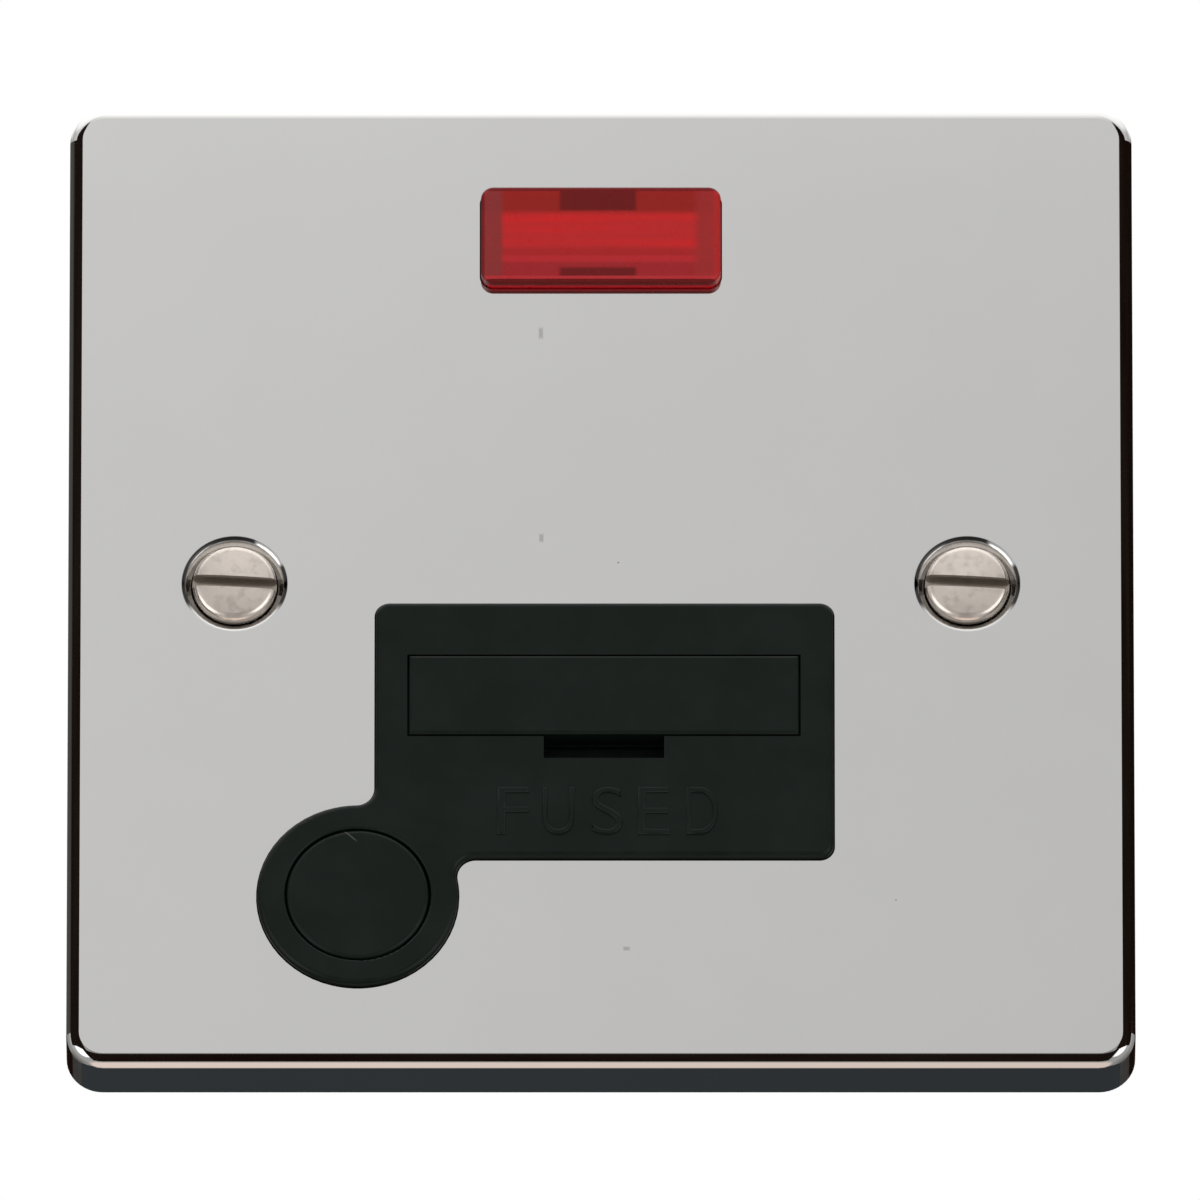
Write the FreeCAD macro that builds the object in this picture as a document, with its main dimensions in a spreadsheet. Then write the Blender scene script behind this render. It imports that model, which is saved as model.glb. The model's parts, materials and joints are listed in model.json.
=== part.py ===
"""Fused spur unit: a one-gang chrome plate with a fuse drawer, a flex outlet and a neon lamp.

X runs to the right as the plate is seen from the front, Z runs up and the front faces -Y.
Y = 0 is the wall, where the rim of the plate rests. The origin lies midway between the two
fixing screws. Lengths are in millimetres.
"""
import math
import os
import re

import FreeCAD
import Part
import Sketcher
from FreeCAD import Rotation, Vector

# Driving sizes
SIZES = {
    # front plate: a pressed chrome sheet
    "plate_side": 87.7,
    "plate_depth": 5.3,
    "plate_sheet": 1.0,
    "plate_roll": 1.05,
    "plate_corner": 3.0,
    "fixing_margin": 4.65,
    "dish_mouth": 8.3,
    "dish_hole": 3.9,
    "dish_lip": 0.5,
    "dish_blend": 0.6,
    "boss_diameter": 5.0,
    "boss_tapping": 2.5,
    "boss_floor": 0.2,
    # front moulding: a rectangle with a round lobe for the flex
    "insert_width": 37.65,
    "insert_height": 23.3,
    "insert_x": 0.3,
    "insert_drop": 3.06,
    "insert_corner": 1.15,
    "insert_edge": 0.5,
    "insert_proud": 0.6,
    "window_clear": 0.1,
    "lobe_radius": 8.25,
    "lobe_x": -19.96,
    "lobe_share": 0.1716,
    "lobe_blend": 1.6,
    "flange_width": 1.2,
    "flange_thick": 1.5,
    "notch_width": 9.9,
    "notch_height": 2.0,
    "notch_depth": 2.6,
    # flex outlet and its plug
    "outlet_disc": 11.8,
    "outlet_bore": 10.4,
    "outlet_edge": 0.2,
    "plug_thick": 1.7,
    "plug_clear": 0.08,
    "plug_edge": 0.4,
    "plug_skirt": 3.2,
    "skirt_wall": 1.0,
    # fuse drawer
    "drawer_width": 32.1,
    "drawer_height": 7.2,
    "drawer_x": 0.25,
    "drawer_share": 0.1196,
    "drawer_panel": 2.0,
    "drawer_proud": 0.2,
    "drawer_clear": 0.12,
    "drawer_edge": 0.3,
    "drawer_travel": 12.0,
    "drawer_core": 6.6,
    "cheek_thick": 1.2,
    "barb_reach": 0.6,
    "barb_length": 1.0,
    "saddle_width": 13.0,
    "bridge_thick": 1.2,
    "bridge_height": 2.4,
    # cartridge fuse
    "fuse_length": 25.4,
    "fuse_diameter": 6.35,
    "fuse_ceramic": 6.2,
    "fuse_cap": 6.0,
    "cap_wall": 0.3,
    "cap_edge": 0.18,
    "fuse_slack": 0.3,
    # fuse clips: bent strips
    "clip_width": 4.2,
    "clip_sheet": 0.5,
    "clip_clear": 0.2,
    "clip_flare": 0.5,
    "clip_mouth": 1.5,
    "clip_bend": 0.8,
    # strips and links
    "strip_thick": 0.8,
    "strip_share": 0.47,
    "link_share": 0.32,
    "slot_clear": 0.2,
    # rear housing, and the gaps that its contents keep from its sides
    "base_width": 51.0,
    "base_back": 2.0,
    "base_ledge": 5.5,
    "base_foot": 5.5,
    "lens_gap": 1.24,
    "tower_back": 20.0,
    "housing_wall": 1.5,
    "load_wall": 1.0,
    "chamber_slack": 0.6,
    "bay_floor": 9.5,
    "bay_clear": 0.7,
    "bay_ledge": 2.0,
    "housing_corner": 1.6,
    # terminals: their spacing is in shares of the tower's width
    "block_share": 0.19,
    "supply_share": 0.3375,
    "earth_share": 0.16,
    "neutral_share": 0.455,
    "block_depth": 8.0,
    "block_height": 10.0,
    "block_edge": 0.4,
    "core_bore": 4.0,
    "earth_overlap": 1.2,
    "supply_drop": 12.0,
    "load_gap": 2.435,
    # screws
    "clamp_screw": 3.5,
    "head_share": 0.8125,
    "clamp_head_height": 1.7,
    "tip_clear": 0.2,
    "thread_clear": 0.1,
    "module_screw": 3.0,
    "module_head": 5.0,
    "module_head_height": 2.0,
    "module_reach": 1.2,
    "module_inset": 2.7,
    "module_drop": 8.0,
    "module_low_x": 3.6,
    "box_screw": 3.5,
    "box_screw_length": 25.0,
    "box_neck": 3.0,
    "box_head": 6.95,
    "box_head_rim": 0.9,
    "box_head_rise": 0.14,
    "box_head_edge": 0.65,
    "box_slot": 1.0,
    "box_slot_depth": 0.95,
    "box_slot_turn": 3.0,
    "slot_width": 0.9,
    "slot_depth": 0.9,
    "screw_tip": 0.45,
    "seat_clear": 0.14,
    # flex clamp
    "flex_clamp_x": -6.0,
    "flex_clamp_pitch": 11.0,
    "flex_gap": 5.5,
    "cord_thread_share": 0.8,
    "clamp_post": 5.2,
    "clamp_bar_width": 5.2,
    "clamp_bar_corner": 2.35,
    "clamp_bar_thick": 2.0,
    # neon lamp and lens
    "lens_width": 19.8,
    "lens_height": 8.77,
    "lens_drop": 12.325,
    "lens_proud": 1.3,
    "lens_corner": 1.05,
    "lens_edge": 0.35,
    "lens_wall": 1.2,
    "lens_flange": 0.9,
    "lens_flange_thick": 1.0,
    "flute_pitch": 1.1,
    "flute_rise": 0.25,
    "leg_width": 3.0,
    "leg_thick": 0.9,
    "leg_hook": 0.5,
    "holder_wall": 0.9,
    "lamp_diameter": 3.8,
    "lamp_length": 10.5,
    "lamp_end": 1.45,
    "lead_diameter": 1.2,
    "lead_reach": 1.7,
    "resistor_diameter": 2.6,
    "resistor_waist": 2.2,
    "resistor_length": 6.0,
    "resistor_cap": 1.5,
    "resistor_taper": 0.5,
}

# Places and sizes that follow from the driving sizes; fixing_x gives the standard 60.3 mm pitch
PLACES = {
    "face_front": "-plate_depth - insert_proud",
    "sheet_back": "plate_sheet - plate_depth",
    "seat": "sheet_back + flange_thick",
    "fixing_x": "base_width / 2 + fixing_margin",
    "dish_depth": "(dish_mouth - dish_hole) / 2",
    "dish_root": "sheet_back - plate_sheet / 5",
    "dish_back": "dish_root + dish_depth",
    "panel_back": "face_front + drawer_panel",
    "core_half": "fuse_length / 2 + fuse_slack + cheek_thick",
    "fuse_y": "panel_back + fuse_slack + fuse_diameter / 2",
    "barb_front": "seat + drawer_travel",
    "cheek_back": "barb_front + barb_length",
    "chamber_floor": "cheek_back + chamber_slack",
    "well_floor": "chamber_floor + housing_wall",
    "clip_half": "fuse_diameter / 2 + clip_clear",
    "clip_x": "(fuse_length - fuse_cap) / 2",
    "chamber_half": "clip_half + clip_sheet + clip_flare + slot_clear",
    # up the face, from the plate's top edge and from its middle
    "lens_z": "plate_side / 2 - lens_drop",
    "base_top": "lens_z - lens_height / 2 - lens_flange - lens_gap",
    "supply_z": "base_top - supply_drop",
    "bay_bottom": "supply_z - block_height / 2 - bay_ledge",
    "module_top_z": "base_top - module_drop",
    "drawer_z": "-drawer_share * plate_side",
    "insert_z": "drawer_z - insert_drop",
    "lobe_z": "insert_z - lobe_share * plate_side",
    "tower_bottom": "drawer_z - chamber_half - housing_wall",
    "load_z": "tower_bottom - load_gap - block_height / 2",
    "load_bay_top": "load_z + block_height / 2 + 2 * slot_clear",
    "load_bottom": "load_z - block_height / 2 - housing_wall",
    "base_bottom": "load_bottom - base_foot",
    "module_low_z": "base_bottom + module_inset",
    "flex_clamp_z": "base_bottom + (flex_clamp_pitch + clamp_post) / 2",
    # across the housing, in shares of the tower's width
    "tower_width": "base_width - 2 * base_ledge",
    "module_x": "base_width / 2 - module_inset",
    "block_width": "block_share * tower_width",
    "supply_x": "supply_share * tower_width",
    "earth_pitch": "earth_share * tower_width",
    "load_line_x": "block_width",
    "load_neutral_x": "neutral_share * tower_width",
    "strip_width": "strip_share * block_width",
    "link_width": "link_share * block_width",
    "clamp_head": "head_share * earth_pitch",
    "bay_width": "block_width + 2 * bay_clear",
    "earth_width": "block_width + earth_pitch - earth_overlap",
    "load_right": "load_neutral_x + bay_width / 2 + load_wall",
    "load_left": "load_line_x - bay_width / 2 - load_wall",
    # behind the face
    "block_back": "bay_floor + block_depth",
    "core_y": "bay_floor + block_depth / 2",
    "box_screw_y": "(dish_mouth - box_head) / 2 - plate_depth - seat_clear",
    "box_thread": "dish_back + plate_sheet / 2 - box_screw_y",
    "bar_front": "base_back + flex_gap",
    "bar_back": "bar_front + clamp_bar_thick",
    "lens_front": "-plate_depth - lens_proud",
    "holder_front": "sheet_back + lens_flange_thick",
    "holder_back": "0 - slot_clear / 2",
    "holder_floor": "holder_back - holder_wall",
    "lamp_y": "holder_floor - lamp_diameter / 2 - slot_clear / 2",
    "leg_x": "lens_width / 2 - leg_thick / 2",
    "leg_back": "holder_back + 2 * leg_hook",
    "lead_x": "lamp_length / 2 + lead_reach",
    "lead_turn": "leg_back + lead_diameter / 2",
}

doc = FreeCAD.newDocument("fused_spur_unit")
dims = doc.addObject("Spreadsheet::Sheet", "dims")
for row, (alias, number) in enumerate(SIZES.items(), start=1):
    dims.set(f"A{row}", alias)
    dims.set(f"B{row}", str(number))
    dims.setAlias(f"B{row}", alias)
doc.recompute()


def ref(formula, inside_places=False):
    """Turn the size names of a formula into references to the cells that hold them."""
    def cell(match):
        word = match.group(0)
        if word in SIZES:
            return "dims." + word
        if word in PLACES:
            return word if inside_places else "places." + word
        return word
    return re.sub(r"[a-z][a-z_0-9]*", cell, formula)


places = doc.addObject("Spreadsheet::Sheet", "places")
for row, (alias, formula) in enumerate(PLACES.items(), start=1):
    places.set(f"A{row}", alias)
    places.setAlias(f"B{row}", alias)
    places.set(f"B{row}", "=" + ref(formula, inside_places=True))
doc.recompute()


def size(name):
    """Value of a driving size or of a place worked out from them."""
    return float(dims.get(name)) if name in SIZES else float(places.get(name))


# Features shared by the sub-parts

def new_body(name, x="0", y="0", z="0"):
    """An empty body named after its sub-part, with its place bound to the sheet."""
    body = doc.addObject("PartDesign::Body", name)
    body.Label = name
    for axis, formula in zip("xyz", (x, y, z)):
        body.setExpression(".Placement.Base." + axis, ref(formula))
    return body


def new_sketch(body, role, right, up, lift):
    """A sketch on one of the body's origin planes, moved within it and lifted off it."""
    sketch = body.newObject("Sketcher::SketchObject", body.Name + "_sketch")
    plane = [item for item in body.Origin.OriginFeatures if item.Role == role][0]
    sketch.AttachmentSupport = [(plane, "")]
    sketch.MapMode = "FlatFace"
    for axis, formula in zip("xyz", (right, up, lift)):
        sketch.setExpression(".AttachmentOffset.Base." + axis, ref(formula))
    return sketch


def bind(sketch, kind, ends, start, formula):
    """Add a dimension to a sketch and bind it to a formula."""
    index = sketch.addConstraint(Sketcher.Constraint(kind, *ends, start))
    sketch.setExpression(f"Constraints[{index}]", ref(formula))


def polygon(body, role, lift, points, right="0", up="0"):
    """A closed outline whose corners are bound to pairs of formulas."""
    sketch = new_sketch(body, role, right, up, lift)
    count = len(points)
    turns = [-2 * math.pi * index / count for index in range(count)]
    corners = [Vector(math.cos(turn), math.sin(turn), 0) for turn in turns]
    for index in range(count):
        sketch.addGeometry(Part.LineSegment(corners[index], corners[(index + 1) % count]), False)
    for index in range(count):
        after = (index + 1) % count
        sketch.addConstraint(Sketcher.Constraint("Coincident", index, 2, after, 1))
    for index, (across, along) in enumerate(points):
        bind(sketch, "DistanceX", (-1, 1, index, 1), corners[index].x, across)
        bind(sketch, "DistanceY", (-1, 1, index, 1), corners[index].y, along)
    return sketch


def rectangle(body, role, lift, width, height, right="0", up="0"):
    """A rectangle centred on the point (right, up) of its plane."""
    half_w = f"({width}) / 2"
    half_h = f"({height}) / 2"
    corners = [(f"-({half_w})", f"-({half_h})"), (half_w, f"-({half_h})"),
               (half_w, half_h), (f"-({half_w})", half_h)]
    return polygon(body, role, lift, corners, right, up)


def disc(body, role, lift, diameter, right="0", up="0"):
    """A circle centred on the point (right, up) of its plane."""
    sketch = new_sketch(body, role, right, up, lift)
    circle = Part.Circle(Vector(0, 0, 0), Vector(0, 0, 1), 1)
    sketch.addGeometry(circle, False)
    sketch.addConstraint(Sketcher.Constraint("Coincident", 0, 3, -1, 1))
    bind(sketch, "Diameter", (0,), 2 * circle.Radius, diameter)
    return sketch


def feature(body, kind, sketch, length):
    """A pad along the sketch's normal, or a pocket against it."""
    made = body.newObject("PartDesign::" + kind, body.Name + "_" + kind.lower())
    made.Profile = sketch
    made.setExpression("Length", ref(length))
    made.Refine = True
    body.Tip = made
    doc.recompute()
    return made


def add_box(body, x, z, width, height, front, back):
    """Add a block between two depths."""
    sketch = rectangle(body, "XZ_Plane", f"-({back})", width, height, x, z)
    return feature(body, "Pad", sketch, f"({back}) - ({front})")


def cut_box(body, x, z, width, height, front, back):
    """Cut a rectangular recess between two depths."""
    sketch = rectangle(body, "XZ_Plane", f"-({front})", width, height, x, z)
    return feature(body, "Pocket", sketch, f"({back}) - ({front})")


def add_disc(body, x, z, diameter, front, back):
    """Add a round post between two depths."""
    sketch = disc(body, "XZ_Plane", f"-({back})", diameter, x, z)
    return feature(body, "Pad", sketch, f"({back}) - ({front})")


def cut_disc(body, x, z, diameter, front, back):
    """Cut a round hole between two depths."""
    sketch = disc(body, "XZ_Plane", f"-({front})", diameter, x, z)
    return feature(body, "Pocket", sketch, f"({back}) - ({front})")


def spin(body, kind, points, right="0"):
    """Revolve or groove an outline about a depth-wise axis; its points are (radius, depth)."""
    sketch = polygon(body, "XY_Plane", "0", points, right)
    made = body.newObject("PartDesign::" + kind, body.Name + "_" + kind.lower())
    made.Profile = sketch
    made.ReferenceAxis = (sketch, ["V_Axis"])
    made.Angle = 360
    made.Refine = True
    body.Tip = made
    doc.recompute()
    return made


def edges_near(shape, spots, reach=0.05):
    """Names of the straight depth-wise edges that pass through the (x, z) spots."""
    names = []
    for number, edge in enumerate(shape.Edges, start=1):
        ends = [vertex.Point for vertex in edge.Vertexes]
        if len(ends) != 2 or abs(ends[0].x - ends[1].x) + abs(ends[0].z - ends[1].z) > reach:
            continue
        if any(math.hypot(ends[0].x - x, ends[0].z - z) < reach for x, z in spots):
            names.append(f"Edge{number}")
    return names


def edges_at_depth(shape, depth, reach=0.01):
    """Names of the edges that lie wholly at one depth."""
    return [f"Edge{number}" for number, edge in enumerate(shape.Edges, start=1)
            if abs(edge.BoundBox.YMin - depth) < reach and abs(edge.BoundBox.YMax - depth) < reach]


def circles_at_depth(shape, depth, diameter):
    """Names of the circular edges of one diameter that lie at one depth."""
    names = edges_at_depth(shape, depth)
    return [name for name in names if abs(shape.getElement(name).BoundBox.XLength - diameter) < 0.01]


def end_rims(shape, length):
    """Names of the edges at both ends of a revolved piece, half its length from its middle."""
    return [f"Edge{number}" for number, edge in enumerate(shape.Edges, start=1)
            if all(abs(abs(vertex.Point.y) - length / 2) < 0.01 for vertex in edge.Vertexes)]


def ease(body, kind, names, formula):
    """Fillet or chamfer the named edges of the body's last feature."""
    base = body.Tip
    made = body.newObject("PartDesign::" + kind, body.Name + "_" + kind.lower())
    made.Base = (base, names)
    made.setExpression("Radius" if kind == "Fillet" else "Size", ref(formula))
    body.Tip = made
    doc.recompute()
    return made


def mirror(body, features, role):
    """Repeat features on the other side of an origin plane."""
    plane = [item for item in body.Origin.OriginFeatures if item.Role == role][0]
    made = body.newObject("PartDesign::Mirrored", body.Name + "_mirrored")
    made.Originals = features
    made.MirrorPlane = (plane, [""])
    made.Refine = True
    body.Tip = made
    doc.recompute()
    return made


def box_corners(x, z, width, height):
    """The four corners of a rectangle, for picking its edges."""
    return [(x + side * width / 2, z + level * height / 2) for side in (-1, 1) for level in (-1, 1)]


# Outline shared by the front moulding and the plate's window

def spur_outline(body, kind, margin, front, back):
    """The rectangle with a round lobe at its lower left, grown by a margin all round."""
    make_box, make_disc = (add_box, add_disc) if kind == "Pad" else (cut_box, cut_disc)
    make_box(body, "insert_x", "insert_z", f"insert_width + 2 * ({margin})",
             f"insert_height + 2 * ({margin})", front, back)
    return make_disc(body, "lobe_x", "lobe_z", f"2 * (lobe_radius + {margin})", front, back)


def spur_junctions(margin):
    """Where the lobe's circle leaves the rectangle: on its left side and on its bottom."""
    left = size("insert_x") - size("insert_width") / 2 - margin
    bottom = size("insert_z") - size("insert_height") / 2 - margin
    radius = size("lobe_radius") + margin
    rise = math.sqrt(radius ** 2 - (left - size("lobe_x")) ** 2)
    reach = math.sqrt(radius ** 2 - (bottom - size("lobe_z")) ** 2)
    return [(left, size("lobe_z") + rise), (size("lobe_x") + reach, bottom)]


def spur_corners(margin):
    """The three free corners of the rectangle."""
    corners = box_corners(size("insert_x"), size("insert_z"),
                          size("insert_width") + 2 * margin, size("insert_height") + 2 * margin)
    return corners[1:]


# Front plate

def front_plate():
    """A pressed sheet: rolled rim, two dished screw seats, two windows and four screw bosses."""
    body = new_body("front_plate")
    add_box(body, "0", "0", "plate_side", "plate_side", "0 - plate_depth", "0")
    side = size("plate_side")
    ease(body, "Fillet", edges_near(body.Tip.Shape, box_corners(0, 0, side, side)), "plate_corner")
    ease(body, "Fillet", edges_at_depth(body.Tip.Shape, -size("plate_depth")), "plate_roll")
    hollow = "plate_side - 2 * plate_sheet"
    cut = rectangle(body, "XZ_Plane", "0", hollow, hollow)
    cavity = feature(body, "Pocket", cut, "plate_depth - plate_sheet")
    cavity.Reversed = True
    doc.recompute()
    inner = side - 2 * size("plate_sheet")
    inner_edges = edges_near(body.Tip.Shape, box_corners(0, 0, inner, inner))
    ease(body, "Fillet", inner_edges, "plate_corner - plate_sheet")
    add_seats(body)
    for x, z in MODULE_SPOTS.values():
        add_disc(body, x, z, "boss_diameter", "sheet_back", "seat")
        cut_disc(body, x, z, "boss_tapping", "sheet_back + boss_floor", "seat")
    spur_outline(body, "Pocket", "window_clear", "0 - plate_depth", "sheet_back")
    clear = size("window_clear")
    ease(body, "Fillet", edges_near(body.Tip.Shape, spur_junctions(clear)), "lobe_blend - window_clear")
    ease(body, "Fillet", edges_near(body.Tip.Shape, spur_corners(clear)), "insert_corner + window_clear")
    cut_box(body, "0", "lens_z", "lens_width + 2 * window_clear", "lens_height + 2 * window_clear",
            "0 - plate_depth", "sheet_back")
    opening = box_corners(0, size("lens_z"), size("lens_width") + 2 * clear,
                          size("lens_height") + 2 * clear)
    ease(body, "Fillet", edges_near(body.Tip.Shape, opening), "lens_corner + window_clear")
    return body


def add_seats(body):
    """Dish the sheet at both fixing screws: a cone on the face and a hollow cone behind it."""
    bulge = spin(body, "Revolution", [
        ("0", "dish_root"), ("dish_mouth / 2 + dish_blend", "dish_root"),
        ("dish_hole / 2 + plate_sheet", "dish_back"), ("0", "dish_back")], "fixing_x")
    recess = spin(body, "Groove", [
        ("0", "-2 * plate_depth"), ("dish_mouth / 2", "-2 * plate_depth"),
        ("dish_mouth / 2", "-plate_depth"), ("dish_hole / 2", "-plate_depth + dish_depth"),
        ("dish_hole / 2", "0"), ("0", "0")], "fixing_x")
    mirror(body, [bulge, recess], "YZ_Plane")
    mouths = circles_at_depth(body.Tip.Shape, -size("plate_depth"), size("dish_mouth"))
    ease(body, "Fillet", mouths, "dish_lip")


# Module screws pass through the housing into the plate's bosses, at these places
MODULE_SPOTS = {
    "top_left": ("0 - module_x", "module_top_z"),
    "top_right": ("module_x", "module_top_z"),
    "low_left": ("module_low_x", "module_low_z"),
    "low_right": ("module_x", "module_low_z"),
}

# Places of the fuse clips, the neutral link, the earth strap and the small screws
SUPPLY_CLIP_X = "drawer_x - clip_x"
LOAD_CLIP_X = "drawer_x + clip_x"
LINK_X = "(supply_x + load_neutral_x) / 2"
EARTH_STRAP_Z = "supply_z + strip_thick"
FLEX_CLAMP_SPOTS = ("flex_clamp_z + flex_clamp_pitch / 2", "flex_clamp_z - flex_clamp_pitch / 2")
TERMINAL_SCREW_SPOTS = {
    "supply_line": ("-supply_x", "supply_z"),
    "supply_neutral": ("supply_x", "supply_z"),
    "earth_left": ("-earth_pitch / 2", "supply_z"),
    "earth_right": ("earth_pitch / 2", "supply_z"),
    "load_line": ("load_line_x", "load_z"),
    "load_neutral": ("load_neutral_x", "load_z"),
}

# Front moulding

def front_moulding():
    """The black face with its lobe, the drawer's stepped window, the pry notch and a flange."""
    body = new_body("front_moulding")
    spur_outline(body, "Pad", "0", "face_front", "seat")
    ease(body, "Fillet", edges_near(body.Tip.Shape, spur_junctions(0)), "lobe_blend")
    ease(body, "Fillet", edges_near(body.Tip.Shape, spur_corners(0)), "insert_corner")
    ease(body, "Fillet", edges_at_depth(body.Tip.Shape, size("face_front")), "insert_edge")
    spur_outline(body, "Pad", "flange_width", "sheet_back", "seat")
    window_w = "drawer_width + 2 * drawer_clear"
    window_h = "drawer_height + 2 * drawer_clear"
    cut_box(body, "drawer_x", "drawer_z", window_w, window_h, "face_front", "panel_back")
    cut_box(body, "drawer_x", "drawer_z", "2 * core_half + 2 * slot_clear",
            "drawer_core + 2 * slot_clear", "panel_back", "seat")
    notch_z = "drawer_z - drawer_height / 2 - drawer_clear - notch_height / 2"
    cut_box(body, "drawer_x", notch_z, "notch_width", "notch_height",
            "face_front", "face_front + notch_depth")
    cut_disc(body, "lobe_x", "lobe_z", "outlet_disc + 2 * plug_clear",
             "face_front", "face_front + plug_thick")
    mouth = size("outlet_disc") + 2 * size("plug_clear")
    ease(body, "Fillet", circles_at_depth(body.Tip.Shape, size("face_front"), mouth), "outlet_edge")
    cut_disc(body, "lobe_x", "lobe_z", "outlet_bore", "face_front + plug_thick", "seat")
    return body


def flex_outlet_plug():
    """The blanking plug of the flex outlet: a flush disc with a hollow skirt behind it."""
    body = new_body("flex_outlet_plug", "lobe_x", "0", "lobe_z")
    skirt = "outlet_bore / 2 - plug_clear"
    step = "face_front + plug_thick"
    spin(body, "Revolution", [
        ("0", "face_front"), ("outlet_disc / 2", "face_front"), ("outlet_disc / 2", step),
        (skirt, step), (skirt, f"{step} + plug_skirt"),
        (f"{skirt} - skirt_wall", f"{step} + plug_skirt"), (f"{skirt} - skirt_wall", step),
        ("0", step)])
    ease(body, "Fillet", edges_at_depth(body.Tip.Shape, size("face_front")), "plug_edge")
    return body


# Fuse drawer with its cartridge fuse

def fuse_drawer():
    """A front panel carrying two barbed cheeks, a saddle for the fuse and a bridge behind it."""
    body = new_body("fuse_drawer", "drawer_x", "0", "drawer_z")
    front = "face_front - drawer_proud"
    add_box(body, "0", "0", "drawer_width", "drawer_height", front, "panel_back")
    front_edges = edges_at_depth(body.Tip.Shape, size("face_front") - size("drawer_proud"))
    ease(body, "Fillet", front_edges, "drawer_edge")
    cheek_x = "core_half - cheek_thick / 2"
    bridge_front = "fuse_y + fuse_diameter / 2 + clip_clear"
    for side in ("", "-"):
        add_box(body, f"{side}({cheek_x})", "0", "cheek_thick", "drawer_core",
                "panel_back", "cheek_back")
        barb = polygon(body, "XY_Plane", "-drawer_core / 2", [
            (f"{side}(core_half)", "barb_front"),
            (f"{side}(core_half + barb_reach)", "barb_front"),
            (f"{side}(core_half)", "cheek_back")])
        feature(body, "Pad", barb, "drawer_core")
    add_box(body, "0", "0", "2 * core_half", "bridge_height",
            bridge_front, f"{bridge_front} + bridge_thick")
    add_box(body, "0", "0", "saddle_width", "drawer_core", "panel_back",
            "fuse_y - fuse_diameter / 4")
    hollow = disc(body, "YZ_Plane", "-saddle_width / 2 - slot_clear", "fuse_diameter + slot_clear",
                  "fuse_y", "0")
    groove = feature(body, "Pocket", hollow, "saddle_width + 2 * slot_clear")
    groove.Reversed = True
    doc.recompute()
    return body


def fuse_body():
    """The ceramic tube of the cartridge fuse, with turned-down ends for its caps."""
    body = new_body("fuse_body", "drawer_x", "fuse_y", "drawer_z")
    body.Placement.Rotation = Rotation(Vector(0, 0, 1), -90)
    shoulder = "fuse_length / 2 - fuse_cap"
    tip = "fuse_length / 2 - cap_wall"
    neck = "fuse_diameter / 2 - cap_wall"
    spin(body, "Revolution", [
        ("0", f"-({tip})"), (neck, f"-({tip})"), (neck, f"-({shoulder})"),
        ("fuse_ceramic / 2", f"-({shoulder})"), ("fuse_ceramic / 2", shoulder),
        (neck, shoulder), (neck, tip), ("0", tip)])
    return body


def fuse_cap(name, side):
    """A drawn brass cap over one end of the fuse."""
    body = new_body(name, "drawer_x", "fuse_y", "drawer_z")
    body.Placement.Rotation = Rotation(Vector(0, 0, 1), -90 * side)
    rim = "fuse_length / 2 - fuse_cap"
    end = "fuse_length / 2"
    bore = "fuse_diameter / 2 - cap_wall"
    spin(body, "Revolution", [
        ("0", end), ("fuse_diameter / 2", end), ("fuse_diameter / 2", rim), (bore, rim),
        (bore, f"{end} - cap_wall"), ("0", f"{end} - cap_wall")])
    ease(body, "Fillet", end_rims(body.Tip.Shape, size("fuse_length")), "cap_edge")
    return body


def fuse_clip(name, side):
    """A strip bent into a fork that opens to the front and grips one cap of the fuse."""
    body = new_body(name, f"drawer_x + {side} * clip_x", "0", "drawer_z")
    inner = "clip_half"
    outer = "clip_half + clip_sheet"
    mouth = "seat + slot_clear"
    flare = f"{mouth} + clip_mouth"
    base = "chamber_floor - clip_sheet"
    upper = [(mouth, f"{inner} + clip_flare"), (flare, inner), (base, inner)]
    lower = [(place, f"-({level})") for place, level in reversed(upper)]
    outside = [(mouth, f"{outer} + clip_flare"), (flare, outer), ("chamber_floor", outer)]
    under = [(place, f"-({level})") for place, level in outside]
    outline = polygon(body, "YZ_Plane", "-clip_width / 2", upper + lower + under + outside[::-1])
    feature(body, "Pad", outline, "clip_width")
    bends = [f"Edge{number}" for number, edge in enumerate(body.Tip.Shape.Edges, start=1)
             if edge.BoundBox.XLength > 0.9 * size("clip_width")
             and abs(edge.BoundBox.YMin - size("chamber_floor")) < 0.01]
    ease(body, "Fillet", bends, "clip_bend")
    return body


# Rear housing

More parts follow.
